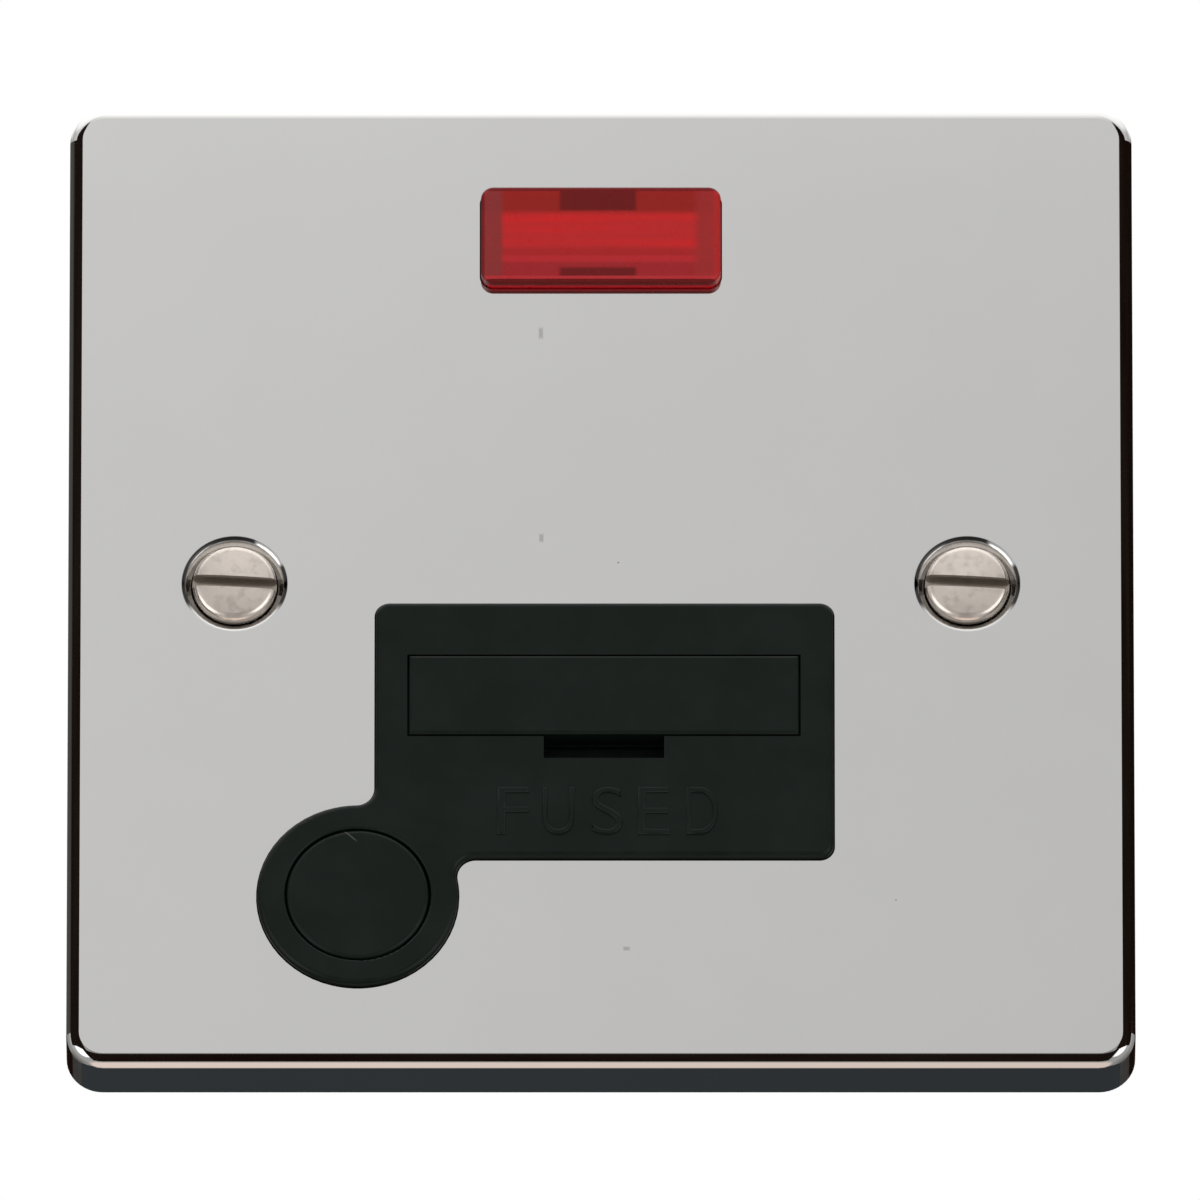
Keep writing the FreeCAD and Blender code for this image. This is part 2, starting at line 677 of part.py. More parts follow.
def rear_housing():
    """The moulded back: a base, a tower over the drawer chamber and bays for the terminals."""
    body = new_body("rear_housing")
    half_tower = size("tower_width") / 2
    half_base = size("base_width") / 2
    add_span(body, "Pad", "-base_width / 2", "base_width / 2", "base_bottom", "base_top",
             "seat", "base_back")
    add_disc(body, "lobe_x", "lobe_z", "2 * lobe_radius + window_clear", "seat", "base_back")
    add_span(body, "Pad", "-tower_width / 2", "tower_width / 2", "tower_bottom", "base_top",
             "seat", "tower_back")
    add_span(body, "Pad", "load_left", "load_right", "load_bottom", "tower_bottom",
             "seat", "tower_back")
    outer = [(side * half_tower, size("base_top")) for side in (-1, 1)]
    outer += [(side * half_base, size("base_top")) for side in (-1, 1)]
    outer += [(-half_tower, size("tower_bottom")), (half_base, size("base_bottom"))]
    outer += [(size(side), size("load_bottom")) for side in ("load_left", "load_right")]
    ease(body, "Fillet", edges_near(body.Tip.Shape, outer), "housing_corner")
    add_span(body, "Pocket", "-tower_width / 2 + housing_wall", "tower_width / 2 - housing_wall",
             "drawer_z + chamber_half + housing_wall", "base_top - housing_wall",
             "seat", "bay_floor - housing_wall")
    cut_box(body, "drawer_x", "drawer_z", "2 * (core_half + barb_reach + slot_clear)",
            "2 * chamber_half", "seat", "chamber_floor")
    add_bays(body)
    add_strip_slots(body)
    cut_disc(body, "lobe_x", "lobe_z", "outlet_bore + 2 * slot_clear", "seat", "base_back")
    for x, z in MODULE_SPOTS.values():
        cut_disc(body, x, z, "module_screw + 2 * slot_clear", "seat", "base_back")
    for z in FLEX_CLAMP_SPOTS:
        add_disc(body, "flex_clamp_x", z, "clamp_post", "base_back", "bar_front")
        cut_disc(body, "flex_clamp_x", z, "module_screw", "base_back", "bar_front")
    return body


def add_span(body, kind, left, right, low, high, front, back):
    """A pad or pocket given by the sides of its rectangle instead of its centre."""
    make = add_box if kind == "Pad" else cut_box
    return make(body, f"(({left}) + ({right})) / 2", f"(({low}) + ({high})) / 2",
                f"({right}) - ({left})", f"({high}) - ({low})", front, back)


def add_bays(body):
    """Terminal bays open to the rear and to their mouths, with a wiring well between the rows."""
    for side in ("", "-"):
        add_span(body, "Pocket", f"{side}supply_x - bay_width / 2", f"{side}supply_x + bay_width / 2",
                 "bay_bottom", "base_top + housing_wall", "bay_floor", "tower_back")
    add_span(body, "Pocket", "-earth_width / 2 - bay_clear", "earth_width / 2 + bay_clear",
             "bay_bottom", "base_top + housing_wall", "bay_floor", "tower_back")
    for x in ("load_line_x", "load_neutral_x"):
        add_span(body, "Pocket", f"{x} - bay_width / 2", f"{x} + bay_width / 2",
                 "load_bottom - housing_wall", "load_bay_top", "bay_floor", "tower_back")
    add_span(body, "Pocket", "-tower_width / 2 + housing_wall", "tower_width / 2 - housing_wall",
             "tower_bottom + housing_wall", "bay_bottom - housing_wall", "well_floor", "tower_back")


def add_strip_slots(body):
    """Slots that let the strips through the chamber's floor and the walls of the well."""
    wide = "strip_width + 2 * slot_clear"
    for x in (SUPPLY_CLIP_X, LOAD_CLIP_X):
        cut_box(body, x, "drawer_z", wide, "strip_thick + 2 * slot_clear",
                "chamber_floor", "well_floor")
    well_top = "bay_bottom - housing_wall"
    well_low = "tower_bottom + housing_wall"
    for x, width in ((SUPPLY_CLIP_X, wide), (LINK_X, "link_width + 2 * slot_clear")):
        add_span(body, "Pocket", f"{x} - ({width}) / 2", f"{x} + ({width}) / 2", well_top,
                 "supply_z - block_height / 2 + slot_clear", "well_floor", "tower_back")
    for x, width in ((LOAD_CLIP_X, wide), (LINK_X, "link_width + 2 * slot_clear")):
        add_span(body, "Pocket", f"{x} - ({width}) / 2", f"{x} + ({width}) / 2",
                 "load_bay_top", well_low, "well_floor", "tower_back")
    cut_box(body, "0", EARTH_STRAP_Z, wide, "strip_thick + 2 * slot_clear",
            "bay_floor - housing_wall", "bay_floor")


# Terminals and the strips between them

def terminal(name, x, z, width, bores):
    """A brass block on its bay's floor, bored for cores and tapped for its clamp screws."""
    body = new_body(name, x, "core_y", z)
    add_box(body, "0", "0", width, "block_height", "-block_depth / 2", "block_depth / 2")
    corners = box_corners(0, 0, body.Tip.Shape.BoundBox.XLength, size("block_height"))
    ease(body, "Chamfer", edges_near(body.Tip.Shape, corners), "block_edge")
    for place in bores:
        core = disc(body, "XY_Plane", "block_height / 2", "core_bore", place)
        feature(body, "Pocket", core, "block_height")
        cut_disc(body, place, "0", "clamp_screw", "0", "block_depth / 2")
    return body


def bent_strip(name, x, near, far, end):
    """An L-shaped strip from the back of a fuse clip along the well to a terminal."""
    body = new_body(name, x)
    outline = polygon(body, "YZ_Plane", "-strip_width / 2", [
        ("chamber_floor", near), ("well_floor + strip_thick", near),
        ("well_floor + strip_thick", end), ("well_floor", end),
        ("well_floor", far), ("chamber_floor", far)])
    feature(body, "Pad", outline, "strip_width")
    return body


def neutral_link():
    """A straight strip that joins the two neutral terminals."""
    body = new_body("neutral_link", LINK_X)
    add_span(body, "Pad", "-link_width / 2", "link_width / 2", "load_z + block_height / 2",
             "supply_z - block_height / 2", "well_floor", "well_floor + strip_thick")
    return body


def earth_strap():
    """An L-shaped strip from the back of the plate to the earth terminal."""
    body = new_body("earth_strap", "0", "0", EARTH_STRAP_Z)
    low, high = "-strip_thick / 2", "strip_thick / 2"
    foot = "2 * strip_width"
    outline = polygon(body, "YZ_Plane", "-strip_width / 2", [
        ("sheet_back", foot), ("sheet_back", low), ("bay_floor", low), ("bay_floor", high),
        ("sheet_back + strip_thick", high), ("sheet_back + strip_thick", foot)])
    feature(body, "Pad", outline, "strip_width")
    return body


# Screws

def slotted_screw(name, x, y, z, head, head_height, shank, length):
    """A pan-head screw whose head faces the rear and rests at the given depth."""
    body = new_body(name, x, y, z)
    spin(body, "Revolution", [
        ("0", head_height), (f"({head}) / 2", head_height), (f"({head}) / 2", "0"),
        (f"({shank}) / 2", "0"), (f"({shank}) / 2", f"screw_tip - ({length})"),
        (f"({shank}) / 2 - screw_tip", f"-({length})"), ("0", f"-({length})")])
    ease(body, "Fillet", edges_at_depth(body.Tip.Shape, size(head_height)), f"({head_height}) / 3")
    cut_box(body, "0", "0", f"{head} + 1", "slot_width", f"{head_height} - slot_depth", head_height)
    return body


def box_screw(name, side):
    """The fixing screw of the plate: a raised round-edged head in its dish, a neck and a long thread."""
    body = new_body(name, f"{side} * fixing_x", "box_screw_y")
    body.Placement.Rotation = Rotation(Vector(0, 1, 0), size("box_slot_turn"))
    radius = "box_head / 2"
    neck = "box_neck / 2"
    thread = "box_screw / 2"
    spin(body, "Revolution", [
        ("0", "-box_head_rim"), (radius, "-box_head_rim"), (radius, "0"),
        (neck, f"{radius} - {neck}"), (neck, "box_thread"), (thread, "box_thread"),
        (thread, "box_screw_length - screw_tip"), (f"{thread} - screw_tip", "box_screw_length"),
        ("0", "box_screw_length")])
    dome(body, radius, "-box_head_rim", "box_head_rise")
    rim = edges_at_depth(body.Tip.Shape, -size("box_head_rim"))
    ease(body, "Fillet", rim, "box_head_edge")
    top = "-box_head_rim - box_head_rise"
    cut_box(body, "0", "0", "2 * box_head", "box_slot", f"{top} - box_slot_depth",
            f"{top} + box_slot_depth")
    return body


def dome(body, radius, base, rise):
    """Add a spherical crown of the given rise to the front of a round head."""
    sketch = new_sketch(body, "XY_Plane", "0", base, "0")
    across = size("box_head") / 2
    height = size("box_head_rise")
    centre = (across ** 2 - height ** 2) / (2 * height)
    circle = Part.Circle(Vector(0, centre, 0), Vector(0, 0, 1), centre + height)
    top, rim = Vector(0, -height, 0), Vector(across, 0, 0)
    sketch.addGeometry(Part.LineSegment(top, Vector(0, 0, 0)), False)
    sketch.addGeometry(Part.LineSegment(Vector(0, 0, 0), rim), False)
    sketch.addGeometry(Part.ArcOfCircle(circle, -math.pi / 2, -math.atan2(centre, across)), False)
    for line, end, other, other_end in ((0, 2, -1, 1), (1, 1, -1, 1), (1, 2, 2, 2), (0, 1, 2, 1)):
        sketch.addConstraint(Sketcher.Constraint("Coincident", line, end, other, other_end))
    sketch.addConstraint(Sketcher.Constraint("PointOnObject", 2, 3, -2))
    sketch.addConstraint(Sketcher.Constraint("Vertical", 0))
    sketch.addConstraint(Sketcher.Constraint("Horizontal", 1))
    bind(sketch, "DistanceX", (-1, 1, 1, 2), across, radius)
    bind(sketch, "DistanceY", (-1, 1, 0, 1), -height, f"-({rise})")
    crown = body.newObject("PartDesign::Revolution", body.Name + "_crown")
    crown.Profile = sketch
    crown.ReferenceAxis = (sketch, ["V_Axis"])
    crown.Angle = 360
    body.Tip = crown
    doc.recompute()


# Flex clamp

def cord_clamp_bar():
    """The bar that grips the flex between its two screws, with a ridge on its inner face."""
    body = new_body("cord_clamp_bar", "flex_clamp_x", "0", "flex_clamp_z")
    add_box(body, "0", "0", "clamp_bar_width", "flex_clamp_pitch + clamp_post",
            "bar_front", "bar_back")
    corners = box_corners(0, 0, size("clamp_bar_width"), size("flex_clamp_pitch") + size("clamp_post"))
    ease(body, "Fillet", edges_near(body.Tip.Shape, corners), "clamp_bar_corner")
    for side in ("", "-"):
        cut_disc(body, "0", f"{side}flex_clamp_pitch / 2", "module_screw + 2 * slot_clear",
                 "bar_front", "bar_back")
    return body


# Neon lamp behind its lens

FLUTES = 5


def neon_lens():
    """A red cap through the plate: fluted inside, flanged behind the sheet, with two snap legs."""
    body = new_body("neon_lens", "0", "0", "lens_z")
    add_box(body, "0", "0", "lens_width", "lens_height", "lens_front", "sheet_back")
    corners = box_corners(0, 0, size("lens_width"), size("lens_height"))
    ease(body, "Fillet", edges_near(body.Tip.Shape, corners), "lens_corner")
    ease(body, "Fillet", edges_at_depth(body.Tip.Shape, size("lens_front")), "lens_edge")
    add_box(body, "0", "0", "lens_width + 2 * lens_flange", "lens_height + 2 * lens_flange",
            "sheet_back", "holder_front")
    cut_box(body, "0", "0", "lens_width - 2 * lens_wall", "lens_height - 2 * lens_wall",
            "lens_front + lens_wall", "holder_front")
    flute = polygon(body, "YZ_Plane", "lens_wall - lens_width / 2", [
        ("lens_front + lens_wall", "-flute_pitch / 2"), ("lens_front + lens_wall", "flute_pitch / 2"),
        ("lens_front + lens_wall + flute_rise", "0")], "0", f"-{(FLUTES - 1) / 2} * flute_pitch")
    ridge = feature(body, "Pad", flute, "lens_width - 2 * lens_wall")
    row = body.newObject("PartDesign::LinearPattern", "neon_lens_flutes")
    row.Originals = [ridge]
    row.Direction = (flute, ["V_Axis"])
    row.Occurrences = FLUTES
    row.setExpression("Length", ref(f"{FLUTES - 1} * flute_pitch"))
    body.Tip = row
    doc.recompute()
    for side in ("", "-"):
        add_box(body, f"{side}leg_x", "0", "leg_thick", "leg_width", "sheet_back", "leg_back")
        hook = polygon(body, "XY_Plane", "-leg_width / 2", [
            (f"{side}(leg_x + leg_thick / 2)", "holder_back"),
            (f"{side}(leg_x + leg_thick / 2 + leg_hook)", "holder_back"),
            (f"{side}(leg_x + leg_thick / 2)", "leg_back")])
        feature(body, "Pad", hook, "leg_width")
    return body


def neon_holder():
    """The tray behind the lens: it cradles the lamp and the lens's legs hook behind it."""
    body = new_body("neon_holder", "0", "0", "lens_z")
    add_box(body, "0", "0", "lens_width + 2 * lens_flange", "lens_height + 2 * lens_flange",
            "holder_front", "holder_back")
    cut_box(body, "0", "0", "lamp_length + 4 * lead_diameter", "lamp_diameter + slot_clear",
            "holder_front", "holder_floor")
    for side in ("", "-"):
        cut_box(body, f"{side}leg_x", "0", "leg_thick + slot_clear", "leg_width + 2 * slot_clear",
                "holder_front", "holder_back")
        cut_disc(body, f"{side}lead_x", "0", "lead_diameter + slot_clear",
                 "holder_floor", "holder_back")
    return body


def neon_lamp():
    """The glass tube of the lamp, rounded at both ends."""
    body = new_body("neon_lamp", "0", "lamp_y", "lens_z")
    body.Placement.Rotation = Rotation(Vector(0, 0, 1), -90)
    spin(body, "Revolution", [
        ("0", "-lamp_length / 2"), ("lamp_diameter / 2", "-lamp_length / 2"),
        ("lamp_diameter / 2", "lamp_length / 2"), ("0", "lamp_length / 2")])
    ease(body, "Fillet", end_rims(body.Tip.Shape, size("lamp_length")), "lamp_end")
    return body


def neon_resistor():
    """The ballast resistor in line with the left lead, waisted between its end caps."""
    body = new_body("neon_resistor", "-lead_x", "lead_turn", "lens_z")
    full = "resistor_diameter / 2"
    waist = "resistor_waist / 2"
    spin(body, "Revolution", [
        ("0", "0"), (full, "0"), (full, "resistor_cap"), (waist, "resistor_cap + resistor_taper"),
        (waist, "resistor_length - resistor_cap - resistor_taper"),
        (full, "resistor_length - resistor_cap"), (full, "resistor_length"), ("0", "resistor_length")])
    return body


def lead(name, points, bend_share=0.45):
    """A round insulated lead whose arcs take up a share of the straight runs beside them."""
    nodes = [Vector(*point) for point in points]
    edges = []
    start = nodes[0]
    for before, corner, after in zip(nodes, nodes[1:], nodes[2:]):
        toward = (before - corner).normalize()
        away = (after - corner).normalize()
        half_turn = (math.pi - toward.getAngle(away)) / 2
        trim = bend_share * min((before - corner).Length, (after - corner).Length)
        first, last = corner + toward * trim, corner + away * trim
        bisector = (toward + away).normalize()
        radius = trim / math.tan(half_turn)
        middle = corner + bisector * (radius / math.cos(half_turn) - radius)
        edges.append(Part.LineSegment(start, first).toShape())
        edges.append(Part.Arc(first, middle, last).toShape())
        start = last
    edges.append(Part.LineSegment(start, nodes[-1]).toShape())
    path = Part.Wire(edges)
    circle = Part.Circle(nodes[0], nodes[1] - nodes[0], size("lead_diameter") / 2)
    solid = path.makePipeShell([Part.Wire(circle.toShape())], True, True)
    made = doc.addObject("Part::Feature", name)
    made.Label = name
    made.Shape = solid
    return made


def neon_leads():
    """Three leads: lamp to resistor, resistor to the line block and lamp to the neutral block."""
    lamp_end = size("lamp_length") / 2
    across = size("lead_x")
    deep = size("lamp_y")
    level = size("lens_z")
    turn = size("lead_turn")
    behind = turn + size("resistor_length")
    block_x = size("supply_x")
    block_top = size("supply_z") + size("block_height") / 2
    landing = size("bay_floor") + size("lead_diameter")
    bend = (level + size("base_top")) / 2
    to_block = [(block_x, landing, bend), (block_x, landing, block_top)]
    left_block = [(-x, y, z) for x, y, z in to_block]
    return [
        lead("neon_lead_lamp", [(-lamp_end, deep, level), (-across, deep, level),
                                (-across, turn, level)]),
        lead("neon_lead_line", [(-across, behind, level), (-across, landing, level)] + left_block),
        lead("neon_lead_neutral", [(lamp_end, deep, level), (across, deep, level),
                                   (across, landing, level)] + to_block),
    ]


parts = [
    front_plate(),
    front_moulding(),
    flex_outlet_plug(),
    fuse_drawer(),
    fuse_body(),
    fuse_cap("fuse_cap_left", -1),
    fuse_cap("fuse_cap_right", 1),
    fuse_clip("fuse_clip_supply", -1),
    fuse_clip("fuse_clip_load", 1),
    rear_housing(),
    terminal("terminal_supply_line", "-supply_x", "supply_z", "block_width", ["0"]),
    terminal("terminal_supply_neutral", "supply_x", "supply_z", "block_width", ["0"]),
    terminal("terminal_earth", "0", "supply_z", "earth_width", ["-earth_pitch / 2", "earth_pitch / 2"]),
    terminal("terminal_load_line", "load_line_x", "load_z", "block_width", ["0"]),
    terminal("terminal_load_neutral", "load_neutral_x", "load_z", "block_width", ["0"]),
    bent_strip("supply_busbar", SUPPLY_CLIP_X, "drawer_z - strip_thick / 2",
               "drawer_z + strip_thick / 2", "supply_z - block_height / 2"),
    bent_strip("load_busbar", LOAD_CLIP_X, "drawer_z + strip_thick / 2",
               "drawer_z - strip_thick / 2", "load_z + block_height / 2"),
    neutral_link(),
    earth_strap(),
    cord_clamp_bar(),
    box_screw("box_screw_left", -1),
    box_screw("box_screw_right", 1),
    neon_lens(),
    neon_holder(),
    neon_lamp(),
    neon_resistor(),
]
parts += neon_leads()
for name, (x, z) in TERMINAL_SCREW_SPOTS.items():
    parts.append(slotted_screw(f"clamp_screw_{name}", x, "block_back", z, "clamp_head",
                               "clamp_head_height", "clamp_screw - thread_clear",
                               "block_depth / 2 - core_bore / 2 - tip_clear"))
for name, (x, z) in MODULE_SPOTS.items():
    parts.append(slotted_screw(f"module_screw_{name}", x, "base_back", z, "module_head",
                               "module_head_height", "boss_tapping - thread_clear",
                               "base_back - seat + module_reach"))
for name, z in zip(("upper", "lower"), FLEX_CLAMP_SPOTS):
    parts.append(slotted_screw(f"cord_screw_{name}", "flex_clamp_x", "bar_back", z, "module_head",
                               "module_head_height", "module_screw - thread_clear",
                               "clamp_bar_thick + cord_thread_share * flex_gap"))


# Check and write

def check_and_write():
    """Refuse any failed object or bad shape, then write one STEP file per sub-part."""
    doc.recompute()
    for item in doc.Objects:
        if "Invalid" in item.State or "Error" in item.State:
            raise RuntimeError(f"{item.Label} failed to rebuild")
    os.makedirs("parts", exist_ok=True)
    for part in parts:
        if part.Shape.isNull() or not part.Shape.isValid():
            raise RuntimeError(f"{part.Label} has no valid shape")
    for part in parts:
        part.Shape.exportStep(f"parts/{part.Label}.step")
        bounds = part.Shape.BoundBox
        print(f"{part.Label}: {len(part.Shape.Solids)} solid, {part.Shape.Volume:.1f} mm3, "
              f"x {bounds.XMin:.2f}..{bounds.XMax:.2f} y {bounds.YMin:.2f}..{bounds.YMax:.2f} "
              f"z {bounds.ZMin:.2f}..{bounds.ZMax:.2f}")


check_and_write()
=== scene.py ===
"""Looks of the fused spur unit: chrome plate, black insert, red neon lens, brass terminals.

Lengths in the materials are in millimetres. Colours are linear and have an alpha of 1.
"""
import json
import math

import bmesh
import bpy
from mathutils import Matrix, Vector

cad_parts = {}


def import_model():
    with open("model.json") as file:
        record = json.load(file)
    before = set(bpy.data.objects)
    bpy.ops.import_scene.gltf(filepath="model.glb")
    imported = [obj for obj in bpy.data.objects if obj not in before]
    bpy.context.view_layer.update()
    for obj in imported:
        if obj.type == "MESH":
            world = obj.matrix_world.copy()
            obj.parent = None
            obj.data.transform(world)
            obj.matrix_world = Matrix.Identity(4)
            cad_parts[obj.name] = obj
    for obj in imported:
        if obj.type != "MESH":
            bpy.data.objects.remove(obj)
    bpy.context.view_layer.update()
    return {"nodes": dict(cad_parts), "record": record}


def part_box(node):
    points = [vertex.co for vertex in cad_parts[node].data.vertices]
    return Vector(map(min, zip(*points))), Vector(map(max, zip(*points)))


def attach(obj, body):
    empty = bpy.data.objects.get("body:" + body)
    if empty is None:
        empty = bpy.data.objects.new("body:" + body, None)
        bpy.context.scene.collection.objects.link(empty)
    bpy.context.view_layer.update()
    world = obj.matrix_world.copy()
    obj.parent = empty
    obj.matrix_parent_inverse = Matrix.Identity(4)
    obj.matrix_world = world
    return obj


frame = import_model()
MM = 0.001


# Material building blocks

NOISE_RANGE = (0.3, 0.7)
MARK_EDGE = (0.5, 1.2)
SPECK_CORE = 0.7


class Finish:
    """A material whose nodes are added one call at a time."""

    def __init__(self, name, **sockets):
        self.material = bpy.data.materials.new(name)
        self.material.use_nodes = True
        self.tree = self.material.node_tree
        self.shader = self.tree.nodes["Principled BSDF"]
        self.place = self.tree.nodes.new("ShaderNodeTexCoord").outputs["Object"]
        for socket, value in sockets.items():
            self.shader.inputs[socket.replace("_", " ")].default_value = value

    def node(self, kind, inputs=(), **settings):
        """Add a node, set its properties and fill or link its inputs."""
        made = self.tree.nodes.new(kind)
        for key, value in settings.items():
            setattr(made, key, value)
        for key, value in dict(inputs).items():
            if isinstance(value, bpy.types.NodeSocket):
                self.tree.links.new(value, made.inputs[key])
            else:
                made.inputs[key].default_value = value
        return made

    def noise(self, cell_mm, detail=4.0, stretch=(1, 1, 1), seed=0.0):
        """Noise between about 0.25 and 0.75 with cells of the given size."""
        mapping = self.node("ShaderNodeMapping", {"Vector": self.place, "Scale": stretch,
                                                  "Location": (seed, seed, seed)})
        made = self.node("ShaderNodeTexNoise", {"Vector": mapping.outputs[0],
                                                "Scale": 1 / (cell_mm * MM), "Detail": detail})
        return made.outputs["Fac"]

    def specks(self, cell_mm, share):
        """Small round dots, one in every few cells: 1 inside a dot and 0 elsewhere."""
        dots = self.node("ShaderNodeTexVoronoi", {"Vector": self.place,
                                                  "Scale": 1 / (cell_mm * MM)})
        return self.ramp(dots.outputs["Distance"], share * SPECK_CORE, share, 1, 0)

    def ramp(self, source, low, high, at_low=0.0, at_high=1.0, smooth=True):
        """Map a range of a value onto another range, without running past its ends."""
        made = self.node("ShaderNodeMapRange", {
            "Value": source, "From Min": low, "From Max": high,
            "To Min": at_low, "To Max": at_high})
        made.interpolation_type = "SMOOTHSTEP" if smooth else "LINEAR"
        return made.outputs["Result"]

    def spread(self, noise, at_low=0.0, at_high=1.0):
        """Spread a noise over a range of values."""
        return self.ramp(noise, *NOISE_RANGE, at_low, at_high)

    def math(self, operation, first, second=0.0):
        """Combine two values, or change one."""
        return self.node("ShaderNodeMath", {0: first, 1: second}, operation=operation).outputs[0]

    def product(self, first, *others):
        """Multiply values."""
        for other in others:
            first = self.math("MULTIPLY", first, other)
        return first

    def off(self, value, middle):
        """How far a value lies from a middle, on either side."""
        return self.math("ABSOLUTE", self.math("SUBTRACT", value, middle))

    def length(self, across, up):
        """Length of a step across and up."""
        return self.math("SQRT", self.math("ADD", self.math("POWER", across, 2),
                                           self.math("POWER", up, 2)))

    def mix(self, factor, first, second):
        """Mix two colours by a factor."""
        made = self.node("ShaderNodeMix", data_type="RGBA")
        for socket, value in zip((0, 6, 7), (factor, first, second)):
            if isinstance(value, bpy.types.NodeSocket):
                self.tree.links.new(value, made.inputs[socket])
            else:
                made.inputs[socket].default_value = value
        return made.outputs[2]

    def colour(self, socket):
        """Link a colour to the shader."""
        self.tree.links.new(socket, self.shader.inputs["Base Color"])

    def roughness(self, socket):
        """Link a roughness to the shader."""
        self.tree.links.new(socket, self.shader.inputs["Roughness"])

    def bump(self, height, depth_mm, strength=1.0):
        """Tilt the surface by a height field."""
        made = self.node("ShaderNodeBump", {"Height": height, "Strength": strength,
                                            "Distance": depth_mm * MM})
        self.tree.links.new(made.outputs[0], self.shader.inputs["Normal"])

    def axis(self, index, origin_mm=0.0):
        """One coordinate of the surface point, in millimetres from an origin."""
        parts = self.node("ShaderNodeSeparateXYZ", {"Vector": self.place})
        return self.math("SUBTRACT", self.product(parts.outputs[index], 1 / MM), origin_mm)

    def mark(self, x, z, length, width, slope=0.0):
        """1 inside a small mark on the face, turned by a slope in degrees, and 0 elsewhere."""
        across, up = self.axis(0, x), self.axis(2, z)
        turn = math.radians(slope)
        along = self.math("ADD", self.product(across, math.cos(turn)),
                          self.product(up, math.sin(turn)))
        aside = self.math("SUBTRACT", self.product(up, math.cos(turn)),
                          self.product(across, math.sin(turn)))
        far = self.math("DIVIDE", self.math("ABSOLUTE", along), length / 2)
        wide = self.math("DIVIDE", self.math("ABSOLUTE", aside), width / 2)
        return self.ramp(self.math("MAXIMUM", far, wide), *MARK_EDGE, 1, 0)


def grey(level, warm=0.0):
    """A grey with a slight warm or cold cast."""
    return (level * (1 + warm), level, level * (1 - warm), 1)


# Chrome

CHROME_DARK = (0.478, 0.475, 0.47, 1)
CHROME_LIGHT = (0.578, 0.573, 0.564, 1)
CHROME_INSIDE = (0.4, 0.39, 0.37, 1)
SMUDGE_COLOUR = (0.26, 0.25, 0.23, 1)
SMUDGE_DEPTH = 0.55
# Middle across and up, size across and up
SMUDGES = ((-4.95, 23.0, 0.4, 1.1), (-4.9, 4.2, 0.4, 0.8), (2.1, -33.3, 0.6, 0.4))
# Colour of the painted dark reflection line around the screw dishes
LIP_PAINTED_REFLECTION = (0.02, 0.018, 0.016, 1)
LIP_RADIUS = 4.2
DISH_BACK_RADIUS = (4.7, 5.0)
DULL_ROUGHNESS = 0.3


def polished_chrome():
    """Mirror chrome with a painted sheen that drifts in tone, faint hairlines and smudges, a
    painted dark reflection line around the screw dishes, and a dull inside.
    """
    made = Finish("polished_chrome", Metallic=1.0)
    across, up = made.axis(0), made.axis(2)
    # Painted sheen in the base tone: lighter to the left, upwards and at the top edge
    tone = made.mix(painted_sheen_drift(made, across, up), CHROME_DARK, CHROME_LIGHT)
    tone = made.mix(face_marks(made), tone, SMUDGE_COLOUR)
    # Painted dark reflection line around each screw dish
    tone = made.mix(painted_dish_lip_reflection(made, across, up), tone, LIP_PAINTED_REFLECTION)
    inside = chrome_inside(made, across, up)
    made.colour(made.mix(inside, tone, CHROME_INSIDE))
    hairline = made.noise(0.5, 3, stretch=(1, 1, 0.04), seed=0.7)
    gloss = made.ramp(hairline, 0.25, 0.75, 0.03, 0.06)
    made.roughness(made.math("ADD", gloss, made.product(inside, DULL_ROUGHNESS)))
    made.bump(hairline, 0.0005, 0.25)
    return made.material


def painted_sheen_drift(made, across, up):
    """How light the chrome is: a painted sheen, lighter to the left, upwards and towards the top
    edge, with soft clouds of random tone.
    """
    half = 44
    drift = made.math("ADD", made.ramp(across, -half, half, 0.45, 0, smooth=False),
                      made.ramp(up, -half, half, 0.06, 0.3, smooth=False))
    drift = made.math("ADD", drift, made.ramp(up, 33, 43, 0, 0.1))
    return made.math("ADD", drift, made.spread(made.noise(11, 3), 0, 0.07))


def face_marks(made):
    """Specks here and there, and the three smudges."""
    marks = made.product(made.specks(5.5, 0.02), made.ramp(made.noise(17, 1), 0.5, 0.6))
    for smudge in SMUDGES:
        marks = made.math("MAXIMUM", marks, made.product(made.mark(*smudge), SMUDGE_DEPTH))
    return marks


def painted_dish_lip_reflection(made, across, up):
    """A painted dark reflection line around each screw dish, open at its foot and at its upper
    right.
    """
    beside = beside_screw(made, across)
    line = made.ramp(made.off(made.length(beside, up), LIP_RADIUS), 0.1, 0.22, 1, 0)
    above_foot = made.ramp(up, -2.6, -1.6, 0, 0.95)
    before_gap = made.ramp(made.math("MINIMUM", beside, up), 1.5, 2.0, 1, 0)
    return made.product(line, above_foot, before_gap)


def beside_screw(made, across):
    """How far the surface point lies to the right of the nearer fixing screw."""
    low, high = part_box("box_screw_right")
    middle = made.product(made.math("SIGN", across), (low.x + high.x) / 2 / MM)
    return made.math("SUBTRACT", across, middle)


def chrome_inside(made, across, up):
    """1 on the unpolished inside of the plate and 0 on its face, outer walls and screw dishes."""
    low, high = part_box("front_plate")
    half, face = high.x / MM, low.y / MM
    reach = made.math("MAXIMUM", made.math("ABSOLUTE", across), made.math("ABSOLUTE", up))
    # Both steps lie within the thickness of the sheet
    within = made.ramp(reach, half - 0.6, half - 0.4, 1, 0)
    behind = made.ramp(made.axis(1), face + 0.45, face + 0.6)
    clear = made.ramp(made.length(beside_screw(made, across), up), *DISH_BACK_RADIUS)
    return made.product(within, behind, clear)


# Mouldings and other metals

SCRATCH_COLOUR = (0.05, 0.052, 0.05, 1)
# Middle across and up, length, width and slope
PLUG_SCRATCH = (-20.6, -23.3, 1.5, 0.14, -42)
SLOT_DEEP_TONE = (0.2, 0.17, 0.14, 1)


